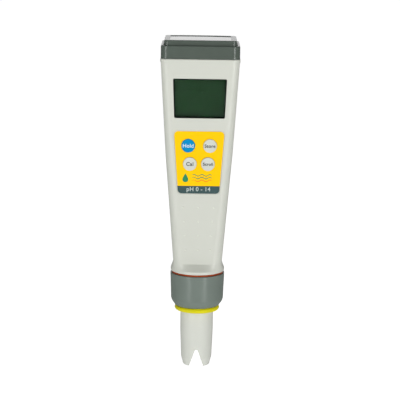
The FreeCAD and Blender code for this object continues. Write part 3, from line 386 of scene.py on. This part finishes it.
def dish_depth(radius):
    """How far a key's dished face lies behind its rim, at a radius from its centre."""
    edge = KEY_RADIUS - KEY_RIM
    sphere = (edge ** 2 + KEY_DISH ** 2) / (2 * KEY_DISH)
    if radius >= edge:
        return 0.0
    return math.sqrt(sphere ** 2 - radius ** 2) - (sphere - KEY_DISH)


def make_key_legends():
    for key, (words, size, slot_name, ink) in KEY_LEGENDS.items():
        low, high = (Vector(corner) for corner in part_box(key))
        middle = (low + high) / 2
        mesh = text_mesh(f"{key}_legend", words, size, INK, LETTER_WEIGHT)
        for vertex in mesh.vertices:
            depth = dish_depth(math.hypot(vertex.co.x, vertex.co.z))
            vertex.co += Vector((middle.x, low.y + depth, middle.z))
        new_piece(f"{key}_legend", mesh, key, slot_name, ink)


RANGE_SIZE = 2.9 * MM
RANGE_WEIGHT = 0.03 * MM
MARK_RISE = 4.1 * MM           # the generic mark's centre, above the band
DROP_SIDE = -6.6 * MM          # the drop and the waves, from the mark's centre
WAVE_SIDE = 1.6 * MM
# each wave: its height from the mark's centre, and its ink
WAVES = ((1.3 * MM, "ink_green"), (-0.1 * MM, "ink_green"), (-1.5 * MM, "ink_orange"))


def make_label_print():
    """The range of the meter on the band, and a plain water mark above it."""
    front = LABEL_LOW[1]
    middle = (LABEL_LOW[0] + LABEL_HIGH[0]) / 2
    mesh = text_mesh("label_range", "pH 0 - 14", RANGE_SIZE, INK, RANGE_WEIGHT)
    mesh.transform(Matrix.Translation((middle, front, LABEL_LOW[2] + BAND_HEIGHT / 2)))
    new_piece("label_range", mesh, "root", "label_film", "ink_pale")
    centre = Vector((middle, front, BAND_TOP + MARK_RISE))
    place_flat("label_drop", drop_outline(), centre + Vector((DROP_SIDE, 0, 0)), "ink_green")
    for number, (rise, ink) in enumerate(WAVES):
        place = centre + Vector((WAVE_SIDE, 0, rise))
        place_flat(f"label_wave_{number + 1}", wave_outline(), place, ink)


def ink_sheet(name, outline):
    """A closed outline of (x, z) points as a thin mesh that faces -Y."""
    mesh = bpy.data.meshes.new(name)
    shape = bmesh.new()
    front = [shape.verts.new((x, -INK / 2, z)) for x, z in outline]
    back = [shape.verts.new((x, INK / 2, z)) for x, z in outline]
    shape.faces.new(front)
    shape.faces.new(back[::-1])
    for number in range(len(outline)):
        after = (number + 1) % len(outline)
        shape.faces.new((front[after], front[number], back[number], back[after]))
    bmesh.ops.recalc_face_normals(shape, faces=shape.faces)
    bmesh.ops.triangulate(shape, faces=[face for face in shape.faces if len(face.verts) > 4])
    shape.to_mesh(mesh)
    shape.free()
    return mesh


def place_flat(name, outline, place, ink):
    """Prints an outline on the label, centred on a place."""
    mesh = ink_sheet(name, outline)
    mesh.transform(Matrix.Translation(place))
    new_piece(name, mesh, "root", "label_film", ink)


DROP_RADIUS = 1.55 * MM        # of the circle that the outline starts from
DROP_WIDEN = 1.3
DROP_STRETCH = 1.45            # along the height
DROP_POINT = 1.4               # how sharply it draws in to its point
DROP_STEPS = 40


def drop_outline():
    """A water drop: a round foot that draws in to a point."""
    points = []
    for number in range(DROP_STEPS):
        turn = 2 * math.pi * number / DROP_STEPS
        width = math.sin(turn) * math.sin(turn / 2) ** DROP_POINT
        x = DROP_RADIUS * width * DROP_WIDEN
        points.append((x, DROP_RADIUS * DROP_STRETCH * math.cos(turn)))
    return points


WAVE_HALF = 5.0 * MM
WAVE_THICK = 0.46 * MM
WAVE_RISE = 0.42 * MM
WAVE_HUMPS = 5                 # half waves, up and down in turn
WAVE_TIP = 0.02                # share of the length that a blunt tip takes
WAVE_TAPER = 0.35              # how much the ribbon thins towards its ends: 0 for not at all
WAVE_STEPS = 60


def wave_outline():
    """A wavy ribbon along X, thinner towards its ends."""
    upper = []
    lower = []
    for number in range(WAVE_STEPS + 1):
        share = number / WAVE_STEPS
        x = WAVE_HALF * (2 * share - 1)
        z = WAVE_RISE * math.sin(WAVE_HUMPS * math.pi * share)
        inner_share = min(max(share, WAVE_TIP), 1 - WAVE_TIP)
        half_thick = WAVE_THICK / 2 * math.sin(math.pi * inner_share) ** WAVE_TAPER
        upper.append((x, z + half_thick))
        lower.append((x, z - half_thick))
    return upper + lower[::-1]


# ---------------------------------------------------------------- moulded pips on the grip

PIP_RADIUS = 0.52 * MM
PIP_PROUD = 0.16 * MM
# each row: how far below the label, and how far its outer pips are from the middle, in mm
PIP_ROWS = ((7.1, 7.7), (14.3, 6.9), (21.4, 6.5), (28.7, 6.2))
RAY_START = -0.1               # Y of a place well in front of the meter


def front_of(node, x, z):
    """Where a line along +Y first meets a CAD node, and the surface's normal there."""
    start = Vector((x, RAY_START, z))
    hit, place, normal, _ = frame["nodes"][node].ray_cast(start, Vector((0, 1, 0)))
    if not hit:
        raise RuntimeError(f"nothing of {node} in front at {x:.4f}, {z:.4f}")
    return place, normal


def settle_faces(shape):
    """Orders faces by their vertices, because a new sphere's own order changes from run to run."""
    shape.verts.index_update()
    count = len(shape.verts)

    def rank(face):
        first, second, third = sorted(vertex.index for vertex in face.verts)[:3]
        return (first * count + second) * count + third

    shape.faces.sort(key=rank)


def make_pips():
    """Rows of small raised pips, which follow the taper of the grip."""
    shape = bmesh.new()
    for drop, side in PIP_ROWS:
        for x in (-side * MM, 0.0, side * MM):
            place, normal = front_of("body_shell", x, LABEL_LOW[2] - drop * MM)
            turn = normal.to_track_quat("Z", "Y").to_matrix().to_4x4()
            dome = bmesh.ops.create_uvsphere(shape, u_segments=20, v_segments=10, radius=PIP_RADIUS)
            for vertex in dome["verts"]:
                vertex.co.z *= PIP_PROUD / PIP_RADIUS
                vertex.co = place + turn @ vertex.co
    settle_faces(shape)
    mesh = bpy.data.meshes.new("grip_pips")
    shape.to_mesh(mesh)
    shape.free()
    for face in mesh.polygons:
        face.use_smooth = True
    # the pips wear the shell's colour painted lighter, a painted highlight
    new_piece("grip_pips", mesh, "root", "shell_plastic", "pip_highlight_plastic")


# ---------------------------------------------------------------- scene

CAMERA_PLACE = Vector((0.82, -816.0, 209.1)) * MM
CAMERA_PITCH = 10.6            # degrees down from level
CAMERA_ROLL = 0.84             # degrees
CAMERA_LENS = 148.5            # millimetres
CAMERA_NEAR = 0.02
CAMERA_FAR = 20


def make_camera():
    """A camera fitted to the view in front of the meter, a little above it."""
    data = bpy.data.cameras.new("camera")
    data.lens = CAMERA_LENS
    data.clip_start = CAMERA_NEAR
    data.clip_end = CAMERA_FAR
    camera = bpy.data.objects.new("camera", data)
    bpy.context.scene.collection.objects.link(camera)
    camera.matrix_world = (Matrix.Translation(CAMERA_PLACE)
                           @ Matrix.Rotation(math.radians(90 - CAMERA_PITCH), 4, "X")
                           @ Matrix.Rotation(math.radians(CAMERA_ROLL), 4, "Z"))
    bpy.context.scene.camera = camera


def soft_light(name, place, width, height, power):
    """A rectangular light that faces the middle of the meter."""
    data = bpy.data.lights.new(name, "AREA")
    data.shape = "RECTANGLE"
    data.size = width
    data.size_y = height
    data.energy = power
    light = bpy.data.objects.new(name, data)
    bpy.context.scene.collection.objects.link(light)
    light.location = place
    centre = (Vector(CAD_BOX[0]) + Vector(CAD_BOX[1])) / 2
    light.rotation_euler = (centre - Vector(place)).to_track_quat("-Z", "Y").to_euler()


# each light: its place, width and height in metres, and its power in watts. The side boxes draw
# the highlights along the body, and the low one behind is what the cover's top mirrors.
SOFT_LIGHTS = {
    "left_box": ((-0.58, -0.80, 0.14), 0.13, 1.0, 4.6),
    "right_box": ((0.53, -0.83, 0.14), 0.13, 1.0, 5.4),
    "back_box": ((0.0, 1.1, 0.31), 1.6, 0.38, 1.9),
}
WORLD_STRENGTH = 0.14


def make_lights():
    for name, (place, width, height, power) in SOFT_LIGHTS.items():
        soft_light(name, place, width, height, power)
    world = bpy.data.worlds.new("world")
    world.use_nodes = True
    world.node_tree.nodes["Background"].inputs["Color"].default_value = (1, 1, 1, 1)
    world.node_tree.nodes["Background"].inputs["Strength"].default_value = WORLD_STRENGTH
    bpy.context.scene.world = world


FLOOR_LEVEL = -0.09
FLOOR_RADIUS = 6.0
FLOOR_GREY = (0.4, 0.4, 0.4)
FLOOR_ROUGHNESS = 0.9
FLOOR_GLOW = 0.95
WALL_HEIGHT = 8.0
WALL_RADIUS = 5.9
STAGE_SIDES = 96


def stage_paint():
    """Paint that glows nearly white, for the floor and the wall."""
    paint, tree, shader = new_material("floor_paint")
    tree.links.new(mottled(tree, FLOOR_GREY, 0.004, 3), shader.inputs["Base Color"])
    shader.inputs["Roughness"].default_value = FLOOR_ROUGHNESS
    shader.inputs["Emission Color"].default_value = (1, 1, 1, 1)
    shader.inputs["Emission Strength"].default_value = FLOOR_GLOW
    return paint


def stage_piece(name, shape, height, paint, unseen_by):
    """A part of the stage at a height, hidden from some kinds of ray."""
    mesh = bpy.data.meshes.new(name)
    shape.to_mesh(mesh)
    shape.free()
    mesh.materials.append(paint)
    piece = bpy.data.objects.new(name, mesh)
    piece.location.z = height
    bpy.context.scene.collection.objects.link(piece)
    for ray in unseen_by:
        setattr(piece, f"visible_{ray}", False)


def make_stage():
    """A pale round floor below the meter, and a far wall round it that only the camera sees."""
    paint = stage_paint()
    disc = bmesh.new()
    bmesh.ops.create_circle(disc, cap_ends=True, segments=STAGE_SIDES, radius=FLOOR_RADIUS)
    stage_piece("floor", disc, FLOOR_LEVEL, paint, ["glossy"])
    tube = bmesh.new()
    bmesh.ops.create_cone(tube, segments=STAGE_SIDES, radius1=WALL_RADIUS, radius2=WALL_RADIUS,
                          depth=WALL_HEIGHT)
    stage_piece("backdrop", tube, FLOOR_LEVEL + WALL_HEIGHT / 2, paint,
                ["diffuse", "glossy", "transmission", "shadow"])


bpy.context.scene.view_settings.view_transform = "Standard"
dress_frame()
make_key_legends()
make_label_print()
make_pips()
make_camera()
make_lights()
make_stage()
